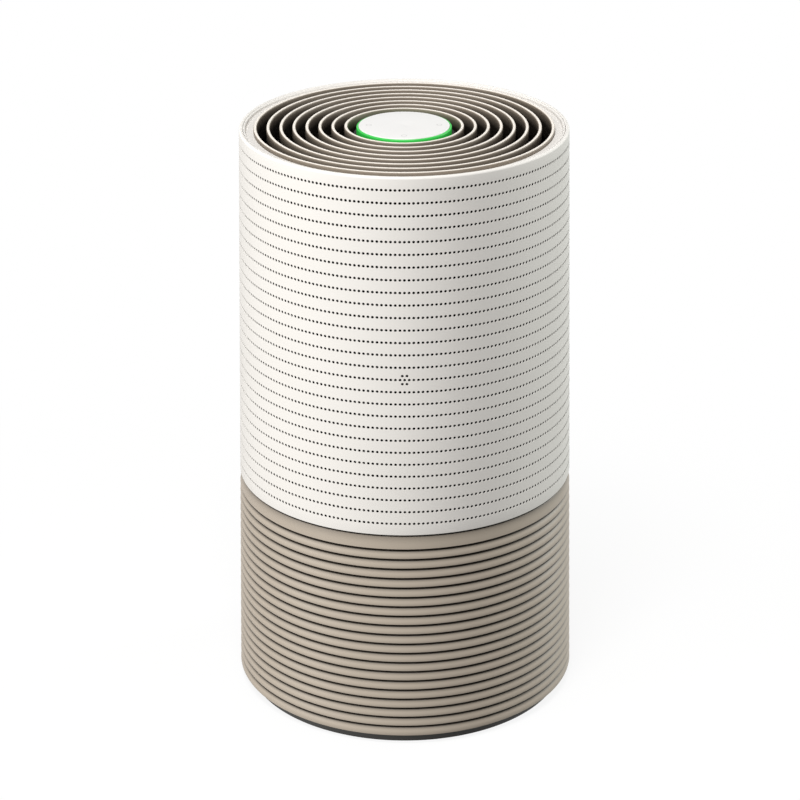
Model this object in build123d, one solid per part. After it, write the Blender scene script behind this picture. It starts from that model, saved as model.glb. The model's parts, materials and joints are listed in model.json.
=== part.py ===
from build123d import *
from math import cos, pi, radians, sin, sqrt
import os

# Air purifier, a tapered tower: air enters through the louvred lower shell, passes the filter,
# is lifted by the fan and leaves through the ring grille on top.
# Millimetres, +Z up, origin on the floor under the axis, front towards -Y.

# Outer form
height = 385.4             # floor to the flush top plane
bottom_radius = 113.0      # lower edge of the lower shell
top_radius = 104.1         # upper edge of the upper shell
seam_height = 150.9        # lower edge of the upper shell
foot_gap = 7.7             # floor to the lower edge of the shell
foot_radius = 107.2        # dark base under the shell
wall = 2.4                 # moulded wall of both shells
seam_gap = 1.2             # shadow line below the seam, between the shells
seam_round = 0.5           # rounded top edge of the lower shell
shell_edge_round = 0.9     # rounded lower edge of the upper shell
lip_round = 1.5            # outside of the top lip
lip_inner_round = 0.6      # inside of the top lip

# Louvres of the lower shell
groove_count = 20
groove_height = 1.1
first_groove_drop = 10.3   # seam to the first groove
rib_lean = 1.4             # top of each rib stands back by this
rib_depth = 5.0            # ribs from front to back
band_lean = 1.6            # top of the band under the seam stands back by this
tongue_wall = 0.9          # tabs that carry that band over the first groove
post_count = 8
post_width = 6.0
flange_thickness = 2.5

# Fine holes of the upper shell: rows that set the sensor port's place
row_count = 28
sensor_row = 15
port_hole_radius = 0.65
port_hole_spacing = 2.8
port_hole_rise = 2.66

# Base and filter
foot_ring_width = 9.0
foot_ring_thickness = 2.0
foot_ring_inset = 3.0
foot_ring_seat = 1.6       # depth the ring is let into the base
base_plate = 3.0
base_rim_wall = 3.2
skirt_wall = 2.0
skirt_height = 11.0
skirt_play = 0.5
filter_play = 1.0
cap_thickness = 3.0
cap_lip = 1.0              # caps stand out past the sleeve
sleeve_wall = 0.8
pleat_count = 60
pleat_depth = 22.0
pleat_shift = 3.0          # radial thickness of the folded sheet
carbon_wall = 8.0
layer_gap = 0.3
gasket_height = 4.0
gasket_width = 12.0
gasket_gap = 0.3

# Deck between filter and fan
deck_drop = 12.0           # seam to the underside of the deck
deck_thickness = 3.0
deck_rim_wall = 1.9
deck_rim_rise = 8.0        # rim above the seam
rim_play = 0.4
boss_radius = 3.6
ledge_thickness = 2.5
screen_wall = 0.8
screen_play = 0.3

# Screws
screw_radius = 1.5
screw_play = 0.2
screw_head_radius = 2.8
screw_head_height = 2.0
screw_length = 9.0
pilot_spare = 1.0          # pilot holes past the screws' ends

# Fan and motor
bell_height = 10.0
bell_wall = 1.8
bell_flange = 8.0
guard_ring_count = 4
guard_bar = 1.6
guard_thickness = 2.0
electronics_bay = 17.0     # duct to the upper shell, room for boards and sensor
duct_wall = 2.0
impeller_play = 8.0        # impeller rim to duct
eye_play = 1.5             # bell to impeller shroud
shroud_lift = 6.0          # deck to shroud
shroud_thickness = 2.0
blade_count = 9
blade_height = 60.0
blade_sweep = 38.0         # degrees from the eye to the rim
blade_bow = 15.0           # degrees swept at half the blade
blade_wall = 1.6
back_plate = 2.5
hub_radius = 14.0
hub_length = 18.0
shaft_radius = 3.0
shaft_play = 0.05
nut_across = 11.0
nut_height = 5.0
shaft_tail = 2.0           # shaft past the nut and past the top bearing
can_radius = 29.0
can_wall = 1.5
can_height = 24.0
magnet_wall = 1.2
magnet_height = 17.0
air_gap = 1.4
stator_height = 15.0
stator_slots = 9
stator_slot_width = 4.0
can_to_hub = 3.0           # rotor can to the fixed hub plate
bearing_radius = 6.5
bearing_height = 5.0
bearing_tube_wall = 1.8
tube_lift = 2.0            # bearing tube above the rotor can's floor
hub_plate = 4.0
column_radius = 35.0
column_wall = 2.0
vane_count = 9
vane_height = 24.0
vane_wall = 2.0
vane_play = 0.2
flare_lift = 20.0          # vanes to the start of the duct's flare
motor_screw_radius = 1.2
motor_screw_count = 3
motor_screw_circle = 18.0

# Top grille
ring_count = 8
ring_wall = 2.1
ring_height = 16.0
pod_gap = 5.6              # light ring to the first grille ring
channel_width = 5.2        # last ring to the collar
channel_depth = 2.8
channel_floor = 2.2
collar_wall = 1.3
collar_drop = 0.8
collar_play = 0.2
spoke_count = 8
spoke_wall = 2.0
spoke_height = 6.0
grille_skirt_wall = 2.0
grille_skirt_play = 0.5
skirt_drop = 3.0           # skirt below the rings

# Controls
disc_radius = 28.8
disc_thickness = 2.2
disc_edge_round = 0.5
disc_gap = 0.3
disc_skirt_wall = 1.2
disc_skirt_depth = 4.0
press_travel = 0.8
press_room = 0.4           # left under the disc at full travel
light_lip = 1.0
light_shoulder = 1.3       # light ring under the disc's edge
light_drop = 0.45          # lit lip below the disc's top
board_drop = 11.8          # top plane to the control board
board_thickness = 1.6
pod_wall = 1.9
pod_floor = 2.2
pod_standoff = 1.8
pod_play = 0.1
pod_rise = 6.0             # pod wall above the board
led_count = 12
led_size = (3.0, 1.5, 1.2)
led_inset = 1.6
key_offset = 22.2
switch_size = 6.0
switch_height = 3.8
plunger_radius = 1.7
plunger_height = 1.2
dome_height = 1.3
dome_radius = 2.2
dome_gap = 0.3
pusher_radius = 2.5

# Electronics at the back, power inlet and sensor
board_width = 60.0
board_height = 84.0
board_lift = 26.0          # seam to the board's lower edge
standoff_length = 3.0
standoff_radius = 3.0
standoff_inset = 5.0
terminal_size = (14.0, 9.0, 11.0)
transformer_size = (22.0, 7.0, 20.0)
capacitor_radius = 3.6
capacitor_height = 16.0
sink_size = (18.0, 7.0, 24.0)
sink_fins = 5
part_gap = 5.0
part_play = 0.5            # board parts to the screen behind the shell
lead_radius = 1.6
lead_play = 0.5
lead_end = 6.4             # motor lead past the column's wall
lead_bend = 3.0            # radius of the power lead's two bends
lead_straight = 3.0        # power lead before and after its bends
inlet_height = 32.0        # floor to the middle of the socket
inlet_width = 23.6
inlet_tall = 12.6
inlet_play = 0.2
inlet_recess = 0.8
inlet_pad_margin = 5.0
socket_width = 17.0
socket_tall = 9.6
socket_depth = 11.0
pin_radius = 1.2
pin_spacing = 8.6
pin_setback = 2.0          # pins end behind the socket's mouth
pin_root = 2.0
inlet_back = 1.0           # least wall behind the pins
sensor_width = 30.0
sensor_tall = 24.0
gasket_bore = 5.0
gasket_ring = 3.0
sensor_gasket_depth = 2.0
sensor_play = 0.3

# Worked out: shell radii and levels


def shell_radius(z):
    return bottom_radius + (top_radius - bottom_radius) * (z - foot_gap) / (height - foot_gap)


def inner_radius(z):
    return shell_radius(z) - wall


row_pitch = (height - seam_height) / (row_count + 1)
groove_pitch = (seam_height - first_groove_drop - foot_gap) / groove_count
flange_top = foot_gap + flange_thickness
deck_low = seam_height - deck_drop
deck_top = deck_low + deck_thickness
rim_top = seam_height + deck_rim_rise

# Worked out: radii from the shell inwards
rim_outer = inner_radius(rim_top) - rim_play
rim_inner = rim_outer - deck_rim_wall
boss_circle = rim_inner - rim_play - boss_radius
inlet_face = shell_radius(inlet_height) - inlet_recess
pin_start = inlet_face - socket_depth - pin_root
post_inner = min(boss_circle - boss_radius, pin_start - inlet_back)
screen_outer = post_inner - screen_play
screen_inner = screen_outer - screen_wall
skirt_outer = screen_inner - 2 * skirt_play
skirt_inner = skirt_outer - skirt_wall
filter_radius = skirt_inner - filter_play
sleeve_outer = filter_radius - cap_lip
sleeve_inner = sleeve_outer - sleeve_wall
media_outer = sleeve_inner - layer_gap
media_inner = media_outer - pleat_depth - pleat_shift
carbon_outer = media_inner - layer_gap
core_radius = carbon_outer - carbon_wall
base_clear = foot_ring_thickness - foot_ring_seat
base_top = base_clear + base_plate
inlet_radius = core_radius - eye_play
board_low = seam_height + board_lift
board_high = board_low + board_height


def parts_room():
    # Largest duct radius that leaves the board's parts clear of the screen: corner by corner
    narrowest = min(inner_radius(board_low), inner_radius(board_high))
    reach = narrowest - screen_play - screen_wall - part_play
    corners = [
        (terminal_size[0] / 2, terminal_size[1]),
        (transformer_size[0], transformer_size[1]),
        (part_gap / 2 + sink_size[0], sink_size[1]),
        (part_gap / 2 + 2 * capacitor_radius, 2 * capacitor_radius),
        (board_width / 2 - standoff_inset + screw_head_radius, screw_head_height),
    ]
    depth = min(sqrt(reach ** 2 - x ** 2) - part_depth for x, part_depth in corners)
    return depth - board_thickness - standoff_length


duct_outer = min(inner_radius(height) - electronics_bay + wall, parts_room())
duct_inner = duct_outer - duct_wall
impeller_radius = duct_inner - impeller_play

# Worked out: levels of filter, fan and controls
gasket_top = deck_low - gasket_gap
cap_top = gasket_top - gasket_height
media_low = base_top + cap_thickness
media_top = cap_top - cap_thickness
shroud_low = deck_top + shroud_lift
plate_low = shroud_low + blade_height
plate_top = plate_low + back_plate
hub_low = plate_low - hub_length
can_top = plate_top + can_height
hub_plate_low = can_top + can_to_hub
hub_plate_top = hub_plate_low + hub_plate
vane_top = hub_plate_low + vane_height
tube_low = plate_top + can_wall + tube_lift
control_top = height - board_drop
control_low = control_top - board_thickness
pod_floor_top = control_low - pod_standoff
pod_low = pod_floor_top - pod_floor
ring_low = height - ring_height
duct_top = ring_low - skirt_drop
light_outer = disc_radius + disc_gap + light_lip
light_inner = disc_radius - light_shoulder
pod_inner = light_outer + pod_play
collar_outer = inner_radius(height) - collar_play
last_ring = collar_outer - collar_wall - channel_width - ring_wall / 2
first_ring = light_outer + pod_gap + ring_wall / 2
ring_pitch = (last_ring - first_ring) / (ring_count - 1)
flare_inner = last_ring + ring_wall / 2 + grille_skirt_play
channel_level = height - channel_depth
board_face = duct_outer + standoff_length
sensor_height = height - row_pitch * (sensor_row + 1)
lead_circle = boss_circle


def turned(points):
    # Solid of revolution about the axis from (radius, height) points
    outline = Polyline(*[(r, 0, z) for r, z in points], close=True)
    return revolve(make_face(outline), Axis.Z, 360)


def tube(outer, inner, low, high):
    return turned([(inner, low), (outer, low), (outer, high), (inner, high)])


def rod(radius, low, high, x=0, y=0):
    return Pos(x, y, (low + high) / 2) * Cylinder(radius, high - low)


def rod_along_y(radius, start, end, x, z):
    return Pos(x, (start + end) / 2, z) * Rot(90, 0, 0) * Cylinder(radius, end - start)


def block(size_x, low_y, high_y, low_z, high_z, x=0):
    middle = Pos(x, (low_y + high_y) / 2, (low_z + high_z) / 2)
    return middle * Box(size_x, high_y - low_y, high_z - low_z)


def around(piece, count, first=0.0):
    return [Rot(0, 0, first + 360 * i / count) * piece for i in range(count)]


def joined(pieces):
    result = pieces[0]
    for piece in pieces[1:]:
        result = result + piece
    return result


def group(pieces):
    return Compound(children=list(pieces))


def on_circle(radius, degrees):
    return radius * cos(radians(degrees)), radius * sin(radians(degrees))


# Turns of the eight deck screws about the axis
post_turn = 180 / post_count
lower_screw_turns = [post_turn + 90 * i for i in range(4)]
upper_screw_turns = [45 + 90 * i for i in range(4)]


def foot_ring():
    outer = foot_radius - foot_ring_inset
    return tube(outer, outer - foot_ring_width, 0, foot_ring_thickness)


def base_cover():
    rim = foot_radius - base_rim_wall
    seat = foot_radius - foot_ring_inset
    plate = turned([
        (0, base_clear), (foot_radius, base_clear), (foot_radius, foot_gap),
        (rim, foot_gap), (rim, base_top), (skirt_outer, base_top),
        (skirt_outer, base_top + skirt_height), (skirt_inner, base_top + skirt_height),
        (skirt_inner, base_top), (0, base_top),
    ])
    spigot = tube(core_radius - layer_gap, core_radius - layer_gap - skirt_wall, base_top, media_low)
    groove = tube(seat, seat - foot_ring_width, base_clear, base_clear + foot_ring_seat)
    return plate + spigot - groove


def filter_cap(low):
    return tube(filter_radius, core_radius, low, low + cap_thickness)


def pleat_outline(outer, inner):
    step = pi / pleat_count
    points = []
    for i in range(2 * pleat_count):
        radius = outer if i % 2 == 0 else inner
        points.append((radius * cos(i * step), radius * sin(i * step)))
    return make_face(Polyline(*points, close=True))


def filter_media():
    fold_inner = media_outer - pleat_depth
    sheet = pleat_outline(media_outer, fold_inner)
    sheet -= pleat_outline(media_outer - pleat_shift, fold_inner - pleat_shift)
    return Pos(0, 0, media_low) * extrude(sheet, media_top - media_low)


def filter_gasket():
    return tube(core_radius + gasket_width, core_radius, cap_top, gasket_top)


def louvre(low, high):
    # One slat, its top edge standing back under the slat above; beside the deck its back stays clear of it
    inside = shell_radius(high) - rib_depth
    if high > deck_low - rim_play:
        inside = max(inside, rim_outer + rim_play)
    return turned([
        (inside, low), (shell_radius(low), low), (shell_radius(high) - rib_lean, high), (inside, high),
    ])


def shell_band(low, high, inside):
    # Solid between a cylinder and the middle of the lower shell's wall
    half = wall / 2
    return turned([
        (inside, low), (shell_radius(low) - half, low),
        (shell_radius(high) - half, high), (inside, high),
    ])


def inlet_pad():
    # Solid panel round the power inlet, flush with the ribs
    low = inlet_height - inlet_tall / 2 - inlet_pad_margin
    high = inlet_height + inlet_tall / 2 + inlet_pad_margin
    band = turned([
        (post_inner, low), (shell_radius(low), low), (shell_radius(high), high), (post_inner, high),
    ])
    panel = band & block(inlet_width + 2 * inlet_pad_margin, 0, bottom_radius, low, high)
    bore = block(
        inlet_width + 2 * inlet_play, 0, bottom_radius + wall,
        inlet_height - inlet_tall / 2 - inlet_play, inlet_height + inlet_tall / 2 + inlet_play,
    )
    channel = rod(lead_radius + lead_play, inlet_height, high, 0, lead_circle)
    return panel, bore + channel


def lower_shell():
    top = seam_height - seam_gap
    first = seam_height - first_groove_drop
    half = groove_height / 2
    inside = rim_outer + rim_play
    collar = turned([
        (inside, first + half), (shell_radius(first + half), first + half),
        (shell_radius(top) - band_lean, top), (inside, top),
    ])
    collar = fillet(collar.edges().group_by(Axis.Z)[-1].sort_by(SortBy.RADIUS)[-1], seam_round)
    grooves = [first - i * groove_pitch for i in range(groove_count)]
    lower_edges = [centre + half for centre in grooves[1:]] + [foot_gap]
    ribs = [collar]
    for low, groove in zip(lower_edges, grooves):
        ribs.append(louvre(low, groove - half))
    flange = turned([
        (skirt_outer + skirt_play, foot_gap), (shell_radius(foot_gap) - wall / 2, foot_gap),
        (shell_radius(flange_top) - wall / 2, flange_top), (skirt_outer + skirt_play, flange_top),
    ])
    post_box = Pos(bottom_radius / 2, 0, height / 2) * Box(bottom_radius, post_width, height)
    band = shell_band(foot_gap, deck_low, post_inner)
    posts = [band & plate for plate in around(post_box, post_count, post_turn)]
    tongue = tube(inside + tongue_wall, inside, deck_low, first + groove_height)
    tongues = [tongue & plate for plate in around(post_box, post_count, post_turn)]
    panel, bore = inlet_pad()
    shell = joined(ribs + [flange] + posts + tongues + [panel]) - bore
    pilots = []
    for turn in lower_screw_turns:
        x, y = on_circle(boss_circle, turn)
        pilots.append(rod(screw_radius, deck_top - screw_length - pilot_spare, deck_low, x, y))
    return shell - pilots


def intake_screen():
    return tube(screen_outer, screen_inner, flange_top, deck_low - screw_head_height - screen_play)


def screw(down):
    # Machine screw with a flat round head, its seat at level 0
    head = rod(screw_head_radius, 0, screw_head_height)
    shank = rod(screw_radius, -screw_length, 0)
    body = head + shank
    return body if down else Rot(180, 0, 0) * body


def deck_screws(turns, seat, down):
    result = []
    for turn in turns:
        x, y = on_circle(boss_circle, turn)
        result.append(Pos(x, y, seat) * screw(down))
    return group(result)


def fan_deck():
    deck = turned([
        (inlet_radius, deck_low), (rim_outer, deck_low), (rim_outer, rim_top),
        (rim_inner, rim_top), (rim_inner, deck_top), (inlet_radius, deck_top),
    ])
    for turn in lower_screw_turns + upper_screw_turns:
        x, y = on_circle(boss_circle, turn)
        deck -= rod(screw_radius + screw_play, deck_low, deck_top, x, y)
    return deck - rod(lead_radius + lead_play, deck_low, deck_top, 0, lead_circle)


def upper_shell():
    low = seam_height
    shell = turned([
        (inner_radius(low), low), (shell_radius(low), low),
        (shell_radius(height), height), (inner_radius(height), height),
    ])
    levels = shell.edges().filter_by(GeomType.CIRCLE).group_by(Axis.Z)
    shell = fillet(levels[0].sort_by(SortBy.RADIUS)[-1], shell_edge_round)
    top_edges = shell.edges().filter_by(GeomType.CIRCLE).group_by(Axis.Z)[-1].sort_by(SortBy.RADIUS)
    shell = fillet(top_edges[-1], lip_round)
    top_edges = shell.edges().filter_by(GeomType.CIRCLE).group_by(Axis.Z)[-1].sort_by(SortBy.RADIUS)
    shell = fillet(top_edges[0], lip_inner_round)
    ledge_top = rim_top + ledge_thickness
    ledge_inner = post_inner
    half = wall / 2
    ledge = turned([
        (ledge_inner, rim_top), (shell_radius(rim_top) - half, rim_top),
        (shell_radius(ledge_top) - half, ledge_top), (ledge_inner, ledge_top),
    ])
    shell = shell + ledge
    for turn in upper_screw_turns:
        x, y = on_circle(boss_circle, turn)
        shell = shell + rod(boss_radius, deck_top, rim_top, x, y)
        shell = shell - rod(screw_radius, deck_top, deck_low + screw_length + pilot_spare, x, y)
    shell = shell - rod(lead_radius + lead_play, rim_top, ledge_top, 0, lead_circle)
    return shell - sensor_port()


def sensor_port():
    # Cluster of seven fine holes in front of the sensor
    places = [(0, 0), (port_hole_spacing, 0), (-port_hole_spacing, 0)]
    for side in (-1, 1):
        places.append((side * port_hole_spacing / 2, port_hole_rise))
        places.append((side * port_hole_spacing / 2, -port_hole_rise))
    outside = shell_radius(sensor_height) + wall
    inside = inner_radius(sensor_height) - wall
    return [rod_along_y(port_hole_radius, -outside, -inside, x, sensor_height + z) for x, z in places]


def upper_screen():
    low = rim_top + ledge_thickness
    high = duct_top
    gap = screen_play
    screen = turned([
        (inner_radius(low) - gap - screen_wall, low), (inner_radius(low) - gap, low),
        (inner_radius(high) - gap, high), (inner_radius(high) - gap - screen_wall, high),
    ])
    outside = inner_radius(sensor_height)
    return screen - rod_along_y(gasket_bore, -outside, 0, 0, sensor_height)


def inlet_bell():
    step = deck_top + bell_wall
    return turned([
        (inlet_radius, deck_top), (inlet_radius + bell_flange, deck_top),
        (inlet_radius + bell_flange, step), (inlet_radius + bell_wall, step),
        (inlet_radius + bell_wall, deck_top + bell_height), (inlet_radius, deck_top + bell_height),
    ])


def inlet_guard():
    # Finger guard: thin rings on a cross, let into the deck's opening
    low = deck_top - guard_thickness
    outer = inlet_radius - screen_play
    rings = []
    for i in range(guard_ring_count):
        radius = outer * (i + 1) / guard_ring_count
        rings.append(tube(radius, radius - guard_bar, low, deck_top))
    for turn in (0, 90):
        bar = Box(2 * outer - guard_bar, guard_bar, guard_thickness)
        rings.append(Rot(0, 0, turn) * Pos(0, 0, low + guard_thickness / 2) * bar)
    return joined(rings)


def fan_duct():
    flare_low = vane_top + flare_lift
    flare_high = duct_top - skirt_drop
    duct = turned([
        (duct_inner, deck_top), (duct_outer, deck_top), (duct_outer, flare_low),
        (flare_inner + duct_wall, flare_high), (flare_inner + duct_wall, duct_top),
        (flare_inner, duct_top), (flare_inner, flare_high), (duct_inner, flare_low),
    ])
    middle = duct_outer - duct_wall / 2
    for x, z in standoff_places():
        root = sqrt(middle ** 2 - x ** 2)
        post = rod_along_y(standoff_radius, root, board_face, x, z)
        duct = duct + post - rod_along_y(screw_radius, root + duct_wall, board_face, x, z)
    hole = rod_along_y(lead_radius + lead_play, duct_inner - duct_wall, board_face, 0, motor_lead_level())
    return duct - hole


def standoff_places():
    reach = board_width / 2 - standoff_inset
    places = []
    for x in (-reach, reach):
        places.append((x, board_low + standoff_inset))
        places.append((x, board_high - standoff_inset))
    return places


def motor_lead_level():
    return vane_top + lead_radius


def vane_ring():
    hub = tube(column_radius, column_radius - column_wall, hub_plate_low, vane_top)
    tube_outer = bearing_radius + bearing_tube_wall
    plate = tube(column_radius, bearing_radius, hub_plate_low, hub_plate_top)
    bearing_tube = tube(tube_outer, bearing_radius, tube_low, hub_plate_top)
    outer = duct_inner - vane_play
    rim = tube(outer, outer - vane_wall, hub_plate_low, vane_top)
    start = column_radius - column_wall / 2
    end = outer - vane_wall / 2
    vane = Pos((start + end) / 2, 0, (hub_plate_low + vane_top) / 2)
    vane = vane * Box(end - start, vane_wall, vane_height)
    ring = joined([hub, plate, bearing_tube, rim] + around(vane, vane_count, 90))
    for i in range(motor_screw_count):
        x, y = on_circle(motor_screw_circle, 360 * i / motor_screw_count)
        ring = ring - rod(motor_screw_radius, hub_plate_low, hub_plate_top, x, y)
    return ring


def motor_stator():
    # Laminated core with open slots, its three feet under the hub plate
    inner = bearing_radius + bearing_tube_wall
    outer = can_radius - can_wall - magnet_wall - air_gap
    low = hub_plate_low - can_to_hub - magnet_height
    core = tube(outer, inner, low, low + stator_height)
    slot_depth = (outer - inner) / 2
    slot = Pos(outer - slot_depth / 2, 0, low + stator_height / 2)
    slot = slot * Box(slot_depth, stator_slot_width, stator_height)
    core = core - around(slot, stator_slots, 180 / stator_slots)
    for i in range(motor_screw_count):
        x, y = on_circle(motor_screw_circle, 360 * i / motor_screw_count)
        core = core + rod(motor_screw_radius + can_wall, low + stator_height / 2, hub_plate_low, x, y)
        core = core - rod(motor_screw_radius, low + stator_height, hub_plate_low, x, y)
    return core


def motor_bearings():
    bore = shaft_radius + shaft_play
    lower = tube(bearing_radius, bore, tube_low, tube_low + bearing_height)
    upper = tube(bearing_radius, bore, hub_plate_top - bearing_height, hub_plate_top)
    return group([lower, upper])


def motor_screws():
    result = []
    low = hub_plate_low - can_to_hub
    for i in range(motor_screw_count):
        x, y = on_circle(motor_screw_circle, 360 * i / motor_screw_count)
        head = rod(screw_head_radius, hub_plate_top, hub_plate_top + screw_head_height, x, y)
        result.append(head + rod(motor_screw_radius, low, hub_plate_top, x, y))
    return group(result)


def impeller():
    eye = inlet_radius + bell_wall + eye_play
    plate = rod(impeller_radius, plate_low, plate_top)
    hub = rod(hub_radius, hub_low, plate_low)
    shroud = tube(impeller_radius, eye, shroud_low, shroud_low + shroud_thickness)
    turn = 360 * blade_wall / (2 * pi * impeller_radius)
    inner = on_circle(eye, 0)
    middle = on_circle((eye + impeller_radius) / 2, -blade_bow)
    outer = on_circle(impeller_radius, -blade_sweep)
    front = ThreePointArc(inner, middle, outer)
    back = Rot(0, 0, turn) * front
    ends = [Line(front @ 0, back @ 0), Line(front @ 1, back @ 1)]
    face = make_face([front.edge(), back.edge()] + [end.edge() for end in ends])
    blade = Pos(0, 0, shroud_low) * extrude(face, blade_height)
    wheel = joined([plate, hub, shroud] + around(blade, blade_count))
    return wheel - rod(shaft_radius, hub_low, plate_top)


def motor_shaft():
    return rod(shaft_radius, hub_low - nut_height - shaft_tail, hub_plate_top + shaft_tail)


def rotor_can():
    return turned([
        (shaft_radius, plate_top), (can_radius, plate_top), (can_radius, can_top),
        (can_radius - can_wall, can_top), (can_radius - can_wall, plate_top + can_wall),
        (shaft_radius, plate_top + can_wall),
    ])


def rotor_magnet():
    outer = can_radius - can_wall
    low = plate_top + can_wall
    return tube(outer, outer - magnet_wall, low, low + magnet_height)


def impeller_nut():
    hexagon = RegularPolygon(nut_across / 2, 6, major_radius=False)
    nut = Pos(0, 0, hub_low - nut_height) * extrude(hexagon, nut_height)
    return nut - rod(shaft_radius, hub_low - nut_height, hub_low)


def hub_column():
    column = tube(column_radius, column_radius - column_wall, vane_top, pod_low)
    hole = rod_along_y(lead_radius + lead_play, 0, column_radius + column_wall, 0, motor_lead_level())
    return column - hole


def main_board():
    board = block(board_width, board_face, board_face + board_thickness, board_low, board_high)
    for x, z in standoff_places():
        board -= rod_along_y(screw_radius + screw_play, board_face, board_face + board_thickness, x, z)
    return board


def board_screws():
    result = []
    face = board_face + board_thickness
    for x, z in standoff_places():
        head = rod_along_y(screw_head_radius, face, face + screw_head_height, x, z)
        shank = rod_along_y(screw_radius, board_face - standoff_length, face, x, z)
        result.append(head + shank)
    return group(result)


def on_board(size, x, low):
    face = board_face + board_thickness
    return block(size[0], face, face + size[1], low, low + size[2], x)


def terminal_block():
    return on_board(terminal_size, 0, board_low)


def part_level():
    return board_low + terminal_size[2] + part_gap


def transformer():
    return on_board(transformer_size, -transformer_size[0] / 2, part_level())


def heat_sink():
    width, depth, tall = sink_size
    foot = depth / 3
    x = part_gap / 2 + width / 2
    low = part_level()
    sink = on_board((width, foot, tall), x, low)
    fin = width / (2 * sink_fins - 1)
    for i in range(sink_fins):
        sink = sink + on_board((fin, depth, tall), x - width / 2 + fin / 2 + 2 * fin * i, low)
    return sink


def capacitors():
    face = board_face + board_thickness
    low = part_level() + max(transformer_size[2], sink_size[2]) + part_gap
    cans = []
    for side in (-1, 1):
        x = side * (capacitor_radius + part_gap / 2)
        cans.append(rod(capacitor_radius, low, low + capacitor_height, x, face + capacitor_radius))
    return group(cans)


def power_lead():
    # Up from the inlet through the deck, then in to the middle of the terminal block
    inlet_top = inlet_height + inlet_tall / 2
    terminal_y = board_face + board_thickness + terminal_size[1] / 2
    path = FilletPolyline(
        (0, lead_circle, inlet_top), (0, lead_circle, rim_top + ledge_thickness + lead_straight),
        (0, terminal_y, board_low - lead_straight), (0, terminal_y, board_low), radius=lead_bend,
    )
    return sweep(Pos(0, lead_circle, inlet_top) * Circle(lead_radius), path)


def motor_lead():
    start = column_radius - column_wall - lead_end
    return rod_along_y(lead_radius, start, board_face, 0, motor_lead_level())


def control_lead():
    y = column_radius - column_wall - lead_end / 2
    return rod(lead_radius, motor_lead_level() + lead_radius, pod_low, 0, y)


def socket_outline():
    straight = socket_width - socket_tall
    return SlotCenterToCenter(straight, socket_tall)


def power_inlet():
    back = post_inner
    body = block(
        inlet_width, back, inlet_face, inlet_height - inlet_tall / 2, inlet_height + inlet_tall / 2,
    )
    cavity = extrude(Plane.XZ * socket_outline(), -socket_depth)
    body = body - Pos(0, inlet_face - socket_depth, inlet_height) * cavity
    return body - pin_rods()


def pin_rods():
    end = inlet_face - pin_setback
    return [rod_along_y(pin_radius, pin_start, end, side * pin_spacing / 2, inlet_height) for side in (-1, 1)]


def inlet_pins():
    return group(pin_rods())


def sensor_front():
    return inner_radius(sensor_height) - screen_play - screen_wall - sensor_gasket_depth


def sensor_module():
    low = sensor_height - sensor_tall / 2
    high = sensor_height + sensor_tall / 2
    front = sensor_front() - sensor_width ** 2 / (8 * sensor_front())
    body = block(sensor_width, -front, -duct_outer - sensor_play, low, high)
    snout = rod_along_y(gasket_bore + gasket_ring, -sensor_front(), -front, 0, sensor_height)
    port = rod_along_y(gasket_bore, -sensor_front(), -front + sensor_gasket_depth, 0, sensor_height)
    return body + snout - port


def sensor_gasket():
    outer = gasket_bore + gasket_ring
    front = sensor_front() + sensor_gasket_depth - outer ** 2 / (2 * sensor_front()) - sensor_play
    ring = rod_along_y(outer, -front, -sensor_front(), 0, sensor_height)
    return ring - rod_along_y(gasket_bore, -front, -sensor_front(), 0, sensor_height)


def outlet_grille():
    rings = []
    for i in range(ring_count):
        middle = first_ring + i * ring_pitch
        rings.append(tube(middle + ring_wall / 2, middle - ring_wall / 2, ring_low, height))
    last_outer = last_ring + ring_wall / 2
    floor_low = channel_level - channel_floor
    collar = turned([
        (last_outer - ring_wall / 2, floor_low), (collar_outer, floor_low),
        (collar_outer, height - collar_drop), (collar_outer - collar_wall, height - collar_drop),
        (collar_outer - collar_wall, channel_level), (last_outer - ring_wall / 2, channel_level),
    ])
    skirt = tube(flare_inner + grille_skirt_wall, flare_inner, duct_top, channel_level - channel_floor / 2)
    start = first_ring
    end = flare_inner + grille_skirt_wall / 2
    spoke = Pos((start + end) / 2, 0, duct_top + spoke_height / 2)
    spoke = spoke * Box(end - start, spoke_wall, spoke_height)
    return joined(rings + [collar, skirt] + around(spoke, spoke_count, 180 / spoke_count))


def control_pod():
    outer = pod_inner + pod_wall
    shelf = pod_inner - 2 * pod_wall
    return turned([
        (0, pod_low), (column_radius, pod_low), (column_radius, pod_floor_top), (outer, pod_floor_top),
        (outer, control_top + pod_rise), (pod_inner, control_top + pod_rise), (pod_inner, control_low),
        (shelf, control_low), (shelf, pod_floor_top), (0, pod_floor_top),
    ])


def control_board():
    return rod(pod_inner - pod_play, control_low, control_top)


def board_leds():
    length, depth, tall = led_size
    led = Pos(light_inner - led_inset - depth / 2, 0, control_top + tall / 2) * Box(depth, length, tall)
    return group(around(led, led_count, 180 / led_count))


def light_ring():
    shoulder = height - disc_thickness - press_travel - press_room
    lip_inner = disc_radius + disc_gap
    return turned([
        (light_inner, control_top), (light_outer, control_top), (light_outer, height - light_drop),
        (lip_inner, height - light_drop), (lip_inner, shoulder), (light_inner, shoulder),
    ])


def switch_top():
    return control_top + switch_height + plunger_height


def tact_switches():
    result = []
    for side in (-1, 1):
        x = side * key_offset
        body = Pos(x, 0, control_top + switch_height / 2) * Box(switch_size, switch_size, switch_height)
        result.append(body + rod(plunger_radius, control_top, switch_top(), x))
    return group(result)


def switch_domes():
    low = switch_top()
    return group(rod(dome_radius, low, low + dome_height, side * key_offset) for side in (-1, 1))


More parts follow.
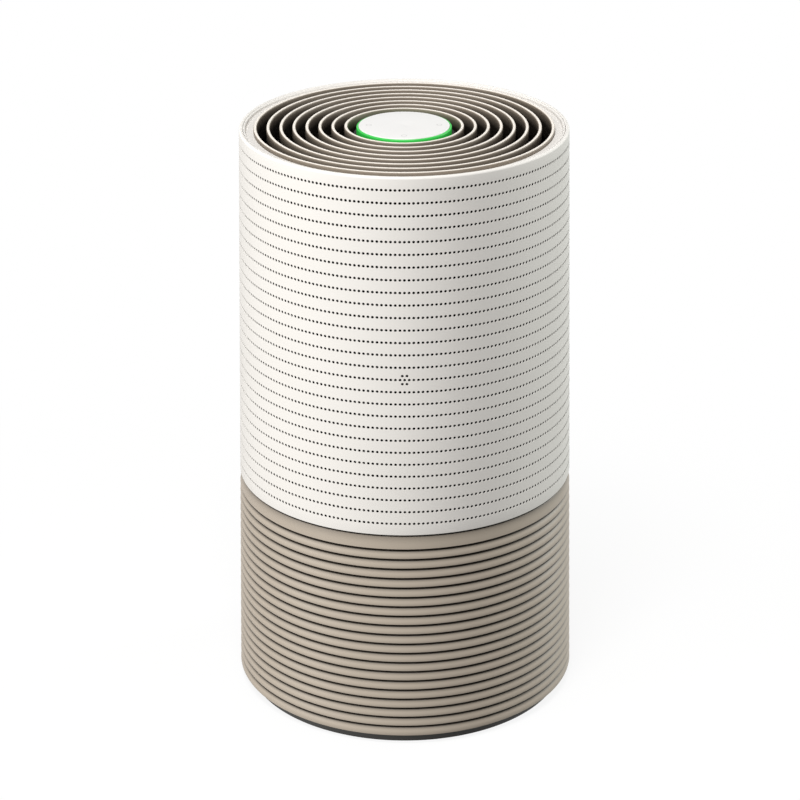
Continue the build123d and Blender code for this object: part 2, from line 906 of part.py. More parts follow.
def control_disc():
    low = height - disc_thickness
    disc = fillet(rod(disc_radius, low, height).edges().group_by(Axis.Z)[-1], disc_edge_round)
    skirt_top = light_inner - disc_gap
    disc = disc + tube(skirt_top, skirt_top - disc_skirt_wall, low - disc_skirt_depth, low)
    pusher_low = switch_top() + dome_height + dome_gap
    for side in (-1, 1):
        disc = disc + rod(pusher_radius, pusher_low, low, side * key_offset)
    return disc


nodes = {
    "foot_ring": foot_ring(),
    "base_cover": base_cover(),
    "filter_bottom_cap": filter_cap(base_top),
    "filter_media": filter_media(),
    "prefilter_sleeve": tube(sleeve_outer, sleeve_inner, media_low, media_top),
    "carbon_core": tube(carbon_outer, core_radius, media_low, media_top),
    "filter_top_cap": filter_cap(media_top),
    "filter_gasket": filter_gasket(),
    "lower_shell": lower_shell(),
    "intake_screen": intake_screen(),
    "lower_shell_screws": deck_screws(lower_screw_turns, deck_top, True),
    "upper_shell_screws": deck_screws(upper_screw_turns, deck_low, False),
    "fan_deck": fan_deck(),
    "upper_shell": upper_shell(),
    "upper_screen": upper_screen(),
    "inlet_bell": inlet_bell(),
    "inlet_guard": inlet_guard(),
    "fan_duct": fan_duct(),
    "vane_ring": vane_ring(),
    "motor_stator": motor_stator(),
    "motor_bearings": motor_bearings(),
    "motor_screws": motor_screws(),
    "impeller": impeller(),
    "motor_shaft": motor_shaft(),
    "rotor_can": rotor_can(),
    "rotor_magnet": rotor_magnet(),
    "impeller_nut": impeller_nut(),
    "hub_column": hub_column(),
    "main_board": main_board(),
    "board_screws": board_screws(),
    "terminal_block": terminal_block(),
    "transformer": transformer(),
    "heat_sink": heat_sink(),
    "capacitors": capacitors(),
    "power_lead": power_lead(),
    "motor_lead": motor_lead(),
    "control_lead": control_lead(),
    "power_inlet": power_inlet(),
    "inlet_pins": inlet_pins(),
    "sensor_module": sensor_module(),
    "sensor_gasket": sensor_gasket(),
    "outlet_grille": outlet_grille(),
    "control_pod": control_pod(),
    "control_board": control_board(),
    "board_leds": board_leds(),
    "light_ring": light_ring(),
    "tact_switches": tact_switches(),
    "switch_domes": switch_domes(),
    "control_disc": control_disc(),
}

os.makedirs("parts", exist_ok=True)
for name, solid in nodes.items():
    export_step(solid, f"parts/{name}.step")
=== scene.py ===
import json
import math
import bpy
import numpy as np
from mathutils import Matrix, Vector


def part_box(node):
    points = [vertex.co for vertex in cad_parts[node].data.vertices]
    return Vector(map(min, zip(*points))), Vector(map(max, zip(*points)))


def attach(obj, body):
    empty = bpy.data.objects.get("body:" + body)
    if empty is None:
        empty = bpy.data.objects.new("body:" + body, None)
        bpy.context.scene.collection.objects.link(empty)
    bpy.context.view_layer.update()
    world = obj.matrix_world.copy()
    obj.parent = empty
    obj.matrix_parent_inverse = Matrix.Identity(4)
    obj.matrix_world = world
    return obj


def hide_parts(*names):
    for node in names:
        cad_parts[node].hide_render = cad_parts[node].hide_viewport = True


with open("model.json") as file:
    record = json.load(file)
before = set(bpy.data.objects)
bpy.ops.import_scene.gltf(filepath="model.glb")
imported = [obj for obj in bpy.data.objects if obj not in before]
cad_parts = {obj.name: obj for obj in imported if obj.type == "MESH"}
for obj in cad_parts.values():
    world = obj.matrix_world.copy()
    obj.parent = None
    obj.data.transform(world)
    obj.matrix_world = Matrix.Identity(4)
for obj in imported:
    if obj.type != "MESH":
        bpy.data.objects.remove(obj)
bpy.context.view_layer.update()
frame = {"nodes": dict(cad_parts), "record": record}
nodes = frame["nodes"]
mm = 0.001
print("frame loaded:", len(nodes), "nodes")

# the tower's own measures, shared by several pieces
tower = {
    "topRadius": 104.1 * mm,
    "bottomRadius": 113.0 * mm,
    "footLevel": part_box("lower_shell")[0].z,
    "topLevel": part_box("upper_shell")[1].z,
    "bandTop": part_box("lower_shell")[1].z,
    "seam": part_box("fan_deck")[1].z - 8.0 * mm,     # the deck's rim stands 8 mm above the seam
}

# a Mix node's colour sockets go by number, because its other kinds use the same names
mixFactor, mixFirst, mixSecond, mixColour = 0, 6, 7, 2


def shellRadius(z):
    # straight taper from the foot to the top
    share = (z - tower["footLevel"]) / (tower["topLevel"] - tower["footLevel"])
    return tower["bottomRadius"] + (tower["topRadius"] - tower["bottomRadius"]) * share


def hexLinear(code):
    # sRGB hex to linear colour with alpha
    srgb = np.array([int(code[i:i + 2], 16) for i in (1, 3, 5)]) / 255
    linear = np.where(srgb <= 0.04045, srgb / 12.92, ((srgb + 0.055) / 1.055) ** 2.4)
    return (*[float(c) for c in linear], 1.0)


def addNode(tree, kind, settings=None, links=None):
    # one shader node: settings go to its sockets or attributes, links to its inputs
    node = tree.nodes.new(kind)
    for key, value in (settings or {}).items():
        if isinstance(key, int) or key in node.inputs:
            node.inputs[key].default_value = value
        else:
            setattr(node, key, value)
    for key, source in (links or {}).items():
        tree.links.new(source, node.inputs[key])
    return node


def newMaterial(name):
    # empty material, its node tree and the Object coordinates that its patterns read
    material = bpy.data.materials.new(name)
    material.use_nodes = True
    tree = material.node_tree
    tree.nodes.clear()
    place = addNode(tree, "ShaderNodeTexCoord").outputs["Object"]
    return material, tree, place


def closeMaterial(material, shader):
    addNode(material.node_tree, "ShaderNodeOutputMaterial", links={"Surface": shader.outputs[0]})
    return material


# camera, from the photograph's perspective
cameraView = {
    "distance": 1543.0 * mm,      # axis to lens
    "height": 867.7 * mm,
    "pitch": 23.536,              # degrees below level
    "yaw": 0.048,
    "roll": 0.155,
    "lens": 114.69,
    "sensor": 36.0,
    "shift": (0.0, 0.001),
}


def makeCamera():
    data = bpy.data.cameras.new("camera")
    data.lens = cameraView["lens"]
    data.sensor_width = cameraView["sensor"]
    data.shift_x, data.shift_y = cameraView["shift"]
    camera = bpy.data.objects.new("camera", data)
    camera.location = (0, -cameraView["distance"], cameraView["height"])
    angles = (90 - cameraView["pitch"], cameraView["roll"], cameraView["yaw"])
    camera.rotation_euler = [math.radians(a) for a in angles]
    bpy.context.scene.collection.objects.link(camera)
    bpy.context.scene.camera = camera


makeCamera()
print("camera set")

# studio: a low, soft key from the left, a high fill from the front, a kicker from behind on the right
studio = {
    "floorSize": 12.0,
    "floorColour": "#ffffff",     # as the camera sees it
    "bounceColour": "#5c5c5b",    # as the object sees it: dark card keeps the shade side deep
    "glowNear": 0.88,             # share of plain white beside the object; the rest takes the shadow
    "glowFar": 1.0,
    "glowRange": (0.14, 0.55),    # from the axis
    "ambient": 0.13,
    "ambientColour": "#fffefc",
}
lamps = {
    # name: azimuth from the front, elevation, distance, width, height, power, colour
    "keyLamp": (-65, 8, 3.2, 2.2, 1.6, 80.0, "#fffefc"),
    "fillLamp": (-12, 59, 3.4, 1.6, 1.0, 106.0, "#fffefd"),
    "kickLamp": (112, 8, 3.2, 1.0, 1.0, 66.0, "#fbfffb"),
}


def makeLamp(name, azimuth, elevation, distance, width, height, power, colour):
    # area lamp on a sphere round the tower's middle, turned to face it
    data = bpy.data.lights.new(name, "AREA")
    data.shape = "RECTANGLE"
    data.size = width
    data.size_y = height
    data.energy = power
    data.color = hexLinear(colour)[:3]
    lamp = bpy.data.objects.new(name, data)
    a = math.radians(azimuth)
    e = math.radians(elevation)
    target = np.array([0, 0, tower["topLevel"] / 2])
    away = np.array([math.sin(a) * math.cos(e), -math.cos(a) * math.cos(e), math.sin(e)])
    lamp.location = target + distance * away
    lamp.rotation_euler = (math.radians(90 - elevation), 0, a)
    bpy.context.scene.collection.objects.link(lamp)


def whiteRays(tree):
    # 1 for rays that show the white surroundings: from the camera, mirrored or through glass
    path = addNode(tree, "ShaderNodeLightPath")
    seen = path.outputs["Is Camera Ray"]
    for ray in ("Is Glossy Ray", "Is Transmission Ray"):
        either = addNode(tree, "ShaderNodeMath", {"operation": "MAXIMUM"}, {0: seen, 1: path.outputs[ray]})
        seen = either.outputs[0]
    return seen


def makeFloor():
    # flat sheet: plain white far from the object, with a share of lit paper near it for the shadow
    size = studio["floorSize"] / 2
    corners = [(-size, -size, 0), (size, -size, 0), (size, size, 0), (-size, size, 0)]
    mesh = bpy.data.meshes.new("studioFloor")
    mesh.from_pydata(corners, [], [(0, 1, 2, 3)])
    floor = bpy.data.objects.new("studioFloor", mesh)
    bpy.context.scene.collection.objects.link(floor)
    material, tree, place = newMaterial("paper sweep, matte white")
    material.cycles.emission_sampling = "NONE"     # its white is a backdrop, so it is no lamp
    seen = whiteRays(tree)
    away = addNode(tree, "ShaderNodeVectorMath", {"operation": "LENGTH"}, {0: place})
    near, far = studio["glowRange"]
    glow = addNode(tree, "ShaderNodeMapRange",
                   {"From Min": near, "From Max": far,
                    "To Min": studio["glowNear"], "To Max": studio["glowFar"]},
                   {"Value": away.outputs["Value"]})
    share = addNode(tree, "ShaderNodeMath", {"operation": "MULTIPLY"}, {0: seen, 1: glow.outputs[0]})
    colour = addNode(tree, "ShaderNodeMix",
                     {"data_type": "RGBA", mixFirst: hexLinear(studio["bounceColour"]),
                      mixSecond: hexLinear(studio["floorColour"])},
                     {mixFactor: seen})
    paper = addNode(tree, "ShaderNodeBsdfDiffuse", links={"Color": colour.outputs[mixColour]})
    white = addNode(tree, "ShaderNodeEmission", {"Color": (1, 1, 1, 1), "Strength": 1.0})
    mix = addNode(tree, "ShaderNodeMixShader", {},
                  {0: share.outputs[0], 1: paper.outputs[0], 2: white.outputs[0]})
    mesh.materials.append(closeMaterial(material, mix))


def makeWorld():
    world = bpy.data.worlds.new("studioWorld")
    bpy.context.scene.world = world
    world.use_nodes = True
    tree = world.node_tree
    tree.nodes.clear()
    soft = addNode(tree, "ShaderNodeBackground",
                   {"Color": hexLinear(studio["ambientColour"]), "Strength": studio["ambient"]})
    white = addNode(tree, "ShaderNodeBackground", {"Color": (1, 1, 1, 1), "Strength": 1.0})
    mix = addNode(tree, "ShaderNodeMixShader", {},
                  {0: whiteRays(tree), 1: soft.outputs[0], 2: white.outputs[0]})
    addNode(tree, "ShaderNodeOutputWorld", links={"Surface": mix.outputs[0]})


bpy.context.scene.view_settings.view_transform = "Standard"
makeFloor()
makeWorld()
for lampName, lampSettings in lamps.items():
    makeLamp(lampName, *lampSettings)
print("studio set")

# what the finishes share; sizes are of the real thing, or coarser where a note says so
looks = {
    "plasticIor": 1.5,
    "driftSize": 45.0 * mm,       # patches of slightly different colour in a moulding
    "lineStretch": 0.08,          # tool lines on metal run far round the axis
    "drumRadius": 95.0 * mm,      # of the nets round the filter
    "threadShare": 0.14,          # of a net's spacing, at each side of a gap
    "threadBlur": 0.6,
    "netDepth": 0.2 * mm,
    "frostSize": 6.0 * mm,        # patches in the lit ring
    "frostShare": 0.3,
    "litDepth": 4.0 * mm,         # from the lit ring's top down, over which its light deepens
    "litRoughness": 0.45,
}
# painted shade inside the louvres and under the seam, darker with depth: its colour, and the depths at which
# it starts and is full
paintedGrooveShade = {"colour": "#1e1811", "start": 0.25 * mm, "full": 1.85 * mm}
# levels below the grille's crests, and the lines left where its mould was drawn, coarse enough to show
ringPaintedLightAndLines = {
    # painted shade: the walls darken from wallStart down to darkest
    "darkest": 7.0 * mm,
    "wallStart": 0.5 * mm,
    # painted highlight: the crests turn pale from crestStart up to crestFull
    "crestStart": 0.4 * mm,
    "crestFull": 0.08 * mm,
    "lineWidth": 0.8 * mm,
    "lineStretch": 0.12,
}
# printed rings on the disc: the same distance from its centre at both sides and at the front
printedMarks = {
    "reach": 22.2 * mm,
    "radius": 1.6 * mm,
    "halfLine": 0.2 * mm,
    "fadeEnd": 0.35 * mm,
    "grain": 0.8 * mm,
}


def closeGrained(material, tone, pattern, roughness, swing, strength, depth, settings):
    # the pattern sways the roughness both ways and raises the surface; depth is in millimetres
    tree = material.node_tree
    gloss = addNode(tree, "ShaderNodeMapRange", {"To Min": roughness - swing, "To Max": roughness + swing},
                    {"Value": pattern})
    bump = addNode(tree, "ShaderNodeBump", {"Strength": strength, "Distance": depth * mm},
                   {"Height": pattern})
    shader = addNode(tree, "ShaderNodeBsdfPrincipled", settings,
                     {"Base Color": tone, "Roughness": gloss.outputs[0], "Normal": bump.outputs[0]})
    return closeMaterial(material, shader)


def depthShare(tree, place, shade):
    # share of painted shade, which darkens the recesses more the deeper they lie
    # 0 near the tapered outside and 1 deep below it: the depth of a point is the shell's radius at its
    # height, less its own distance from the axis
    apart = addNode(tree, "ShaderNodeSeparateXYZ", links={"Vector": place})
    level = addNode(tree, "ShaderNodeVectorMath", {"operation": "MULTIPLY", 1: (1, 1, 0)}, {0: place})
    reach = addNode(tree, "ShaderNodeVectorMath", {"operation": "LENGTH"}, {0: level.outputs[0]})
    outside = addNode(tree, "ShaderNodeMapRange",
                      {"From Min": tower["footLevel"], "From Max": tower["topLevel"],
                       "To Min": tower["bottomRadius"], "To Max": tower["topRadius"]},
                      {"Value": apart.outputs["Z"]})
    below = addNode(tree, "ShaderNodeMath", {"operation": "SUBTRACT"},
                    {0: outside.outputs[0], 1: reach.outputs["Value"]})
    fade = addNode(tree, "ShaderNodeMapRange",
                   {"interpolation_type": "SMOOTHSTEP",
                    "From Min": shade["start"], "From Max": shade["full"]},
                   {"Value": below.outputs[0]})
    return fade.outputs[0]


def mouldedPlastic(name, colour, shade, roughness, grain, depth, specular=0.4, paintedShade=None):
    # injection-moulded plastic: a fine spark-eroded grain in the tool gives a soft, even sheen,
    # with a faint drift of colour from the melt; grain and depth are in millimetres, and the grain
    # is drawn coarser than the real 0.1 mm so that it shows; a given shade table paints shade onto what lies
    # deep in the shell
    material, tree, place = newMaterial(name)
    drift = addNode(tree, "ShaderNodeTexNoise", {"Scale": 1 / looks["driftSize"], "Detail": 3.0},
                    {"Vector": place})
    tone = addNode(tree, "ShaderNodeMix",
                   {"data_type": "RGBA", mixFirst: hexLinear(colour), mixSecond: hexLinear(shade)},
                   {mixFactor: drift.outputs["Fac"]})
    if paintedShade:
        tone = addNode(tree, "ShaderNodeMix",
                       {"data_type": "RGBA", mixSecond: hexLinear(paintedShade["colour"])},
                       {mixFactor: depthShare(tree, place, paintedShade), mixFirst: tone.outputs[mixColour]})
    spark = addNode(tree, "ShaderNodeTexNoise", {"Scale": 1 / (grain * mm), "Detail": 2.0},
                    {"Vector": place})
    return closeGrained(material, tone.outputs[mixColour], spark.outputs["Fac"], roughness, swing=0.06,
                        strength=0.5, depth=depth,
                        settings={"IOR": looks["plasticIor"], "Specular IOR Level": specular})


def ringPlastic(name, crest, wall, deep, roughness):
    # moulded rings: pale crests as a painted highlight, and walls that darken downwards as painted shade,
    # with a fine draw texture
    material, tree, place = newMaterial(name)
    apart = addNode(tree, "ShaderNodeSeparateXYZ", links={"Vector": place})
    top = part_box("outlet_grille")[1].z
    # painted shade on the walls, darker downwards
    lower = addNode(tree, "ShaderNodeMapRange",
                    {"From Min": top - ringPaintedLightAndLines["darkest"], "From Max": top - ringPaintedLightAndLines["wallStart"]},
                    {"Value": apart.outputs["Z"]})
    # painted highlight on the crests
    upper = addNode(tree, "ShaderNodeMapRange",
                    {"From Min": top - ringPaintedLightAndLines["crestStart"], "From Max": top - ringPaintedLightAndLines["crestFull"]},
                    {"Value": apart.outputs["Z"]})
    side = addNode(tree, "ShaderNodeMix",
                   {"data_type": "RGBA", mixFirst: hexLinear(deep), mixSecond: hexLinear(wall)},
                   {mixFactor: lower.outputs[0]})
    tone = addNode(tree, "ShaderNodeMix", {"data_type": "RGBA", mixSecond: hexLinear(crest)},
                   {mixFactor: upper.outputs[0], mixFirst: side.outputs[mixColour]})
    stretch = addNode(tree, "ShaderNodeMapping", {"Scale": (1.0, 1.0, ringPaintedLightAndLines["lineStretch"])},
                      {"Vector": place})
    draw = addNode(tree, "ShaderNodeTexNoise", {"Scale": 1 / ringPaintedLightAndLines["lineWidth"], "Detail": 2.0},
                   {"Vector": stretch.outputs[0]})
    return closeGrained(material, tone.outputs[mixColour], draw.outputs["Fac"], roughness, swing=0.08,
                        strength=0.4, depth=0.02,
                        settings={"IOR": looks["plasticIor"], "Specular IOR Level": 0.35})


def grainedMetal(name, colour, shade, roughness, lineWidth, metallic=1.0):
    # turned, pressed or plated metal: fine tool lines round the axis, drawn about ten times coarser
    material, tree, place = newMaterial(name)
    along = looks["lineStretch"]
    stretch = addNode(tree, "ShaderNodeMapping", {"Scale": (along, along, 1.0)}, {"Vector": place})
    lines = addNode(tree, "ShaderNodeTexNoise", {"Scale": 1 / (lineWidth * mm), "Detail": 2.0},
                    {"Vector": stretch.outputs[0]})
    tone = addNode(tree, "ShaderNodeMix",
                   {"data_type": "RGBA", mixFirst: hexLinear(colour), mixSecond: hexLinear(shade)},
                   {mixFactor: lines.outputs["Fac"]})
    return closeGrained(material, tone.outputs[mixColour], lines.outputs["Fac"], roughness, swing=0.08,
                        strength=0.3, depth=0.02, settings={"Metallic": metallic})


def softGrain(name, colour, shade, roughness, cell, depth):
    # foam, granules, rubber and felted paper: rounded cells give a matte, broken surface
    material, tree, place = newMaterial(name)
    cells = addNode(tree, "ShaderNodeTexVoronoi", {"Scale": 1 / (cell * mm)}, {"Vector": place})
    tone = addNode(tree, "ShaderNodeMix",
                   {"data_type": "RGBA", mixFirst: hexLinear(colour), mixSecond: hexLinear(shade)},
                   {mixFactor: cells.outputs["Distance"]})
    bump = addNode(tree, "ShaderNodeBump", {"Strength": 0.6, "Distance": depth * mm, "invert": True},
                   {"Height": cells.outputs["Distance"]})
    shader = addNode(tree, "ShaderNodeBsdfPrincipled",
                     {"Roughness": roughness, "Specular IOR Level": 0.25},
                     {"Base Color": tone.outputs[mixColour], "Normal": bump.outputs[0]})
    return closeMaterial(material, shader)


def wovenNet(name, thread, gap, spacing, roughness):
    # woven nylon net: light threads over darker gaps, both ways, spacing in millimetres; the pattern is
    # laid out flat, by the length round the drum and the height
    material, tree, place = newMaterial(name)
    apart = addNode(tree, "ShaderNodeSeparateXYZ", links={"Vector": place})
    turn = addNode(tree, "ShaderNodeMath", {"operation": "ARCTAN2"},
                   {0: apart.outputs["X"], 1: apart.outputs["Y"]})
    around = addNode(tree, "ShaderNodeMath",
                     {"operation": "MULTIPLY", 1: looks["drumRadius"] / (spacing * mm)},
                     {0: turn.outputs[0]})
    rise = addNode(tree, "ShaderNodeMath", {"operation": "MULTIPLY", 1: 1 / (spacing * mm)},
                   {0: apart.outputs["Z"]})
    flat = addNode(tree, "ShaderNodeCombineXYZ", links={"X": around.outputs[0], "Y": rise.outputs[0]})
    weave = addNode(tree, "ShaderNodeTexBrick",
                    {"Color1": (1, 1, 1, 1), "Color2": (1, 1, 1, 1), "Mortar": (0, 0, 0, 1), "Scale": 1.0,
                     "Mortar Size": looks["threadShare"], "Mortar Smooth": looks["threadBlur"],
                     "Brick Width": 1.0, "Row Height": 1.0, "offset": 0.0},
                    {"Vector": flat.outputs[0]})
    tone = addNode(tree, "ShaderNodeMix",
                   {"data_type": "RGBA", mixFirst: hexLinear(thread), mixSecond: hexLinear(gap)},
                   {mixFactor: weave.outputs["Color"]})
    bump = addNode(tree, "ShaderNodeBump",
                   {"Strength": 0.6, "Distance": looks["netDepth"], "invert": True},
                   {"Height": weave.outputs["Color"]})
    shader = addNode(tree, "ShaderNodeBsdfPrincipled", {"Roughness": roughness},
                     {"Base Color": tone.outputs[mixColour], "Normal": bump.outputs[0]})
    return closeMaterial(material, shader)


def printedPlastic(name, colour, ink, roughness):
    # satin plastic with faint printed rings where a finger presses: ink lies where the distance to the
    # nearest ring's centre is about the ring's radius; the left side is folded over onto the right
    marks = printedMarks
    material, tree, place = newMaterial(name)
    apart = addNode(tree, "ShaderNodeSeparateXYZ", links={"Vector": place})
    aside = addNode(tree, "ShaderNodeMath", {"operation": "ABSOLUTE"}, {0: apart.outputs["X"]})
    folded = addNode(tree, "ShaderNodeCombineXYZ", links={"X": aside.outputs[0], "Y": apart.outputs["Y"]})
    reach = [addNode(tree, "ShaderNodeVectorMath", {"operation": "DISTANCE", 1: spot}, {0: folded.outputs[0]})
             for spot in ((marks["reach"], 0, 0), (0, -marks["reach"], 0))]
    near = addNode(tree, "ShaderNodeMath", {"operation": "MINIMUM"},
                   {0: reach[0].outputs["Value"], 1: reach[1].outputs["Value"]})
    off = addNode(tree, "ShaderNodeMath", {"operation": "SUBTRACT", 1: marks["radius"]},
                  {0: near.outputs[0]})
    line = addNode(tree, "ShaderNodeMath", {"operation": "ABSOLUTE"}, {0: off.outputs[0]})
    cover = addNode(tree, "ShaderNodeMapRange",
                    {"From Min": marks["halfLine"], "From Max": marks["fadeEnd"],
                     "To Min": 1.0, "To Max": 0.0},
                    {"Value": line.outputs[0]})
    grain = addNode(tree, "ShaderNodeTexNoise", {"Scale": 1 / marks["grain"], "Detail": 2.0},
                    {"Vector": place})
    tone = addNode(tree, "ShaderNodeMix",
                   {"data_type": "RGBA", mixFirst: hexLinear(colour), mixSecond: hexLinear(ink)},
                   {mixFactor: cover.outputs[0]})
    return closeGrained(material, tone.outputs[mixColour], grain.outputs["Fac"], roughness, swing=0.04,
                        strength=0.5, depth=0.008,
                        settings={"IOR": looks["plasticIor"], "Specular IOR Level": 0.4})


def litDiffuser(name, colour, deep, glow, strength):
    # frosted acrylic light guide with green light inside: a deep glow that pales towards its top edge
    material, tree, place = newMaterial(name)
    apart = addNode(tree, "ShaderNodeSeparateXYZ", links={"Vector": place})
    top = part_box("light_ring")[1].z
    climb = addNode(tree, "ShaderNodeMapRange", {"From Min": top - looks["litDepth"], "From Max": top},
                    {"Value": apart.outputs["Z"]})
    frost = addNode(tree, "ShaderNodeTexNoise", {"Scale": 1 / looks["frostSize"], "Detail": 2.0},
                    {"Vector": place})
    vary = addNode(tree, "ShaderNodeMath", {"operation": "MULTIPLY_ADD", 1: looks["frostShare"]},
                   {0: frost.outputs["Fac"], 2: climb.outputs[0]})
    tone = addNode(tree, "ShaderNodeMix",
                   {"data_type": "RGBA", mixFirst: hexLinear(deep), mixSecond: hexLinear(glow)},
                   {mixFactor: vary.outputs[0]})
    shader = addNode(tree, "ShaderNodeBsdfPrincipled",
                     {"Base Color": hexLinear(colour), "Roughness": looks["litRoughness"],
                      "Emission Strength": strength},
                     {"Emission Color": tone.outputs[mixColour]})
    return closeMaterial(material, shader)


# slot: name, colour, shade, roughness, grain and its depth in millimetres, specular level
moulded = {
    "white_shell": ("white ABS, spark-eroded mould", "#edeae6", "#e9e6e1", 0.5, 0.5, 0.008, 0.1),
    # the taupe row's last column is the painted shade in its grooves and under the seam
    "taupe_shell": ("taupe ABS, spark-eroded mould", "#b2a799", "#aca193", 0.48, 0.5, 0.02, 0.3, paintedGrooveShade),
    "dark_base": ("charcoal ABS, matte moulded", "#454442", "#3e3d3b", 0.6, 0.6, 0.03, 0.35),
    "black_plastic": ("black ABS, matte moulded", "#1d1d1e", "#19191a", 0.62, 0.7, 0.03, 0.3),
    "filter_cap": ("pale grey polypropylene, moulded", "#dedfdc", "#d6d7d4", 0.5, 0.7, 0.03),
    "impeller_plastic": ("grey glass-filled nylon, moulded", "#c9cac8", "#bfc0be", 0.5, 0.8, 0.04),
    "sensor_plastic": ("dark grey ABS, moulded", "#38393b", "#323335", 0.55, 0.7, 0.03),
    "inlet_plastic": ("black nylon, moulded", "#232324", "#1e1e1f", 0.45, 0.7, 0.02),
    "terminal_plastic": ("ivory nylon, moulded", "#e4ddc8", "#ddd5be", 0.45, 0.7, 0.02),
    "switch_plastic": ("black phenolic, moulded", "#262627", "#212122", 0.4, 0.6, 0.02),
    "circuit_board": ("glass-epoxy board, green solder mask", "#1f6a3c", "#1a5b33", 0.3, 1.2, 0.03, 0.5),
    "capacitor_sleeve": ("shrink-sleeve film, dark blue", "#26304a", "#20293f", 0.25, 1.0, 0.02, 0.5),
    "transformer_core": ("polyester winding tape, yellow", "#d9b645", "#cfa93a", 0.35, 1.0, 0.03, 0.5),
    "led_lens": ("clear epoxy lens, cast", "#dfe8d8", "#d5dfce", 0.15, 1.0, 0.01, 0.5),
}
# slot: name, crest (painted highlight), wall, deep part of the wall (painted shade), roughness
rings = {
    # the pale crest colour is a painted highlight; the wall and deep colours are painted shade
    "grille_taupe": ("taupe ABS, moulded, crests polished", "#f4ede4", "#897e71", "#1e1913", 0.5),
}
# slot: name, colour, ink, roughness
printed = {
    "disc_white": ("white ABS, satin mould, pad-printed marks", "#eae9e8", "#cccbca", 0.38),
}
# slot: name, colour, shade, roughness, width of a line in millimetres, metallic
metals = {
    "screw_steel": ("zinc-plated steel, rolled", "#b9babb", "#a5a6a8", 0.35, 0.4),
    "bearing_steel": ("bearing steel, ground", "#c8c9ca", "#b8b9bb", 0.22, 0.3),
    "stator_steel": ("stacked electrical steel", "#8c8d90", "#6c6d70", 0.45, 0.5),
    "rotor_steel": ("pressed steel, zinc plated", "#9a9b9d", "#88898b", 0.4, 0.6),
    "magnet": ("sintered ferrite, ground", "#3a3b3e", "#303134", 0.55, 0.6, 0.4),
    "sink_aluminium": ("aluminium, extruded", "#c4c5c7", "#b4b5b7", 0.35, 0.5),
    "pin_brass": ("brass, turned", "#cfb06a", "#bd9d58", 0.28, 0.3),
}
# slot: name, colour, shade, roughness, cell and its depth in millimetres
softs = {
    "foot_rubber": ("natural rubber, moulded", "#2a2a2a", "#232323", 0.75, 0.8, 0.03),
    "foam": ("polyurethane foam, open cell", "#2e2e2f", "#161617", 0.95, 1.1, 0.3),
    "lead_sheath": ("soft PVC sheath, extruded", "#1e1e1f", "#191919", 0.5, 1.0, 0.02),
    "silicone": ("silicone, moulded", "#d4d4d2", "#c8c8c6", 0.5, 1.0, 0.02),
    "carbon": ("activated carbon, granulated", "#2b2b2b", "#0d0d0d", 0.8, 2.2, 0.6),
    "filter_paper": ("glass-fibre filter paper, wet laid", "#f0eee6", "#e2dfd5", 0.9, 1.4, 0.05),
}
# slot: name, thread, gap, spacing in millimetres, roughness
nets = {
    "prefilter_mesh": ("white nylon net, woven", "#d9dad6", "#8f908c", 1.6, 0.7),
    "black_mesh": ("black nylon net, woven", "#151515", "#050505", 1.2, 0.8),
}
# slot: name, surface, deep light, pale light, strength
lit = {
    "light_green": ("frosted acrylic, lit green", "#22a53a", "#0aa41f", "#3ccb53", 0.36),
}
kinds = ((mouldedPlastic, moulded), (ringPlastic, rings), (printedPlastic, printed), (grainedMetal, metals),
         (softGrain, softs), (wovenNet, nets), (litDiffuser, lit))
finishes = {slot: make(*row) for make, rows in kinds for slot, row in rows.items()}
for row in frame["record"]["subparts"]:
    part = nodes[row["node"]]
    part.data.materials.clear()
    part.data.materials.append(finishes[row["material_slot"]])
print("finishes set:", len(finishes))


def addPiece(name, points, faceSets, body, slot, stands=(), crease=32):
    # mesh from whole arrays: points (n, 3) and face sets (m, 3) or (m, 4); edges past the crease are sharp
    mesh = bpy.data.meshes.new(name)
    points = np.asarray(points, float).reshape(-1, 3)
    corners = np.concatenate([np.asarray(f).ravel() for f in faceSets])
    sizes = np.concatenate([np.full(len(f), np.shape(f)[1]) for f in faceSets])
    starts = np.concatenate([[0], np.cumsum(sizes)[:-1]])
    mesh.vertices.add(len(points))
    mesh.vertices.foreach_set("co", points.ravel())
    mesh.loops.add(len(corners))
    mesh.loops.foreach_set("vertex_index", corners.astype(np.int32))
    mesh.polygons.add(len(sizes))
    mesh.polygons.foreach_set("loop_start", starts.astype(np.int32))
    mesh.polygons.foreach_set("use_smooth", np.ones(len(sizes), bool))
    mesh.update(calc_edges=True)
    mesh.validate()
    mesh.set_sharp_from_angle(angle=math.radians(crease))
    mesh.materials.append(finishes[slot])
    piece = bpy.data.objects.new(name, mesh)
    bpy.context.scene.collection.objects.link(piece)
    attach(piece, body)
    if stands:
        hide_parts(*stands)
    print("piece", name, "faces", len(sizes))


def rectangle(left, right, low, high):
    # four corners, in the order that points the faces of a spun outline outwards
    return [(left, low), (right, low), (right, high), (left, high)]


def softLoop(corners, radii, steps):
    # closed outline with rounded corners: at each corner an arc between its two tangent points
    p = np.array(corners, float)
    r = np.broadcast_to(np.asarray(radii, float), len(p))
    a = np.roll(p, 1, 0) - p
    b = np.roll(p, -1, 0) - p
    a = a / np.linalg.norm(a, axis=1, keepdims=True)
    b = b / np.linalg.norm(b, axis=1, keepdims=True)
    half = np.arccos(np.clip((a * b).sum(1), -1, 1)) / 2
    middle = (a + b) / np.linalg.norm(a + b, axis=1, keepdims=True)
    centre = p + middle * (r / np.sin(half))[:, None]
    start = p + a * (r / np.tan(half))[:, None] - centre
    end = p + b * (r / np.tan(half))[:, None] - centre
    first = np.arctan2(start[:, 1], start[:, 0])
    turn = np.arctan2(end[:, 1], end[:, 0]) - first
    turn = (turn + math.pi) % (2 * math.pi) - math.pi
    angle = first[:, None] + turn[:, None] * np.linspace(0, 1, steps)
    arc = np.stack([np.cos(angle), np.sin(angle)], -1) * r[:, None, None]
    return (centre[:, None, :] + arc).reshape(-1, 2)


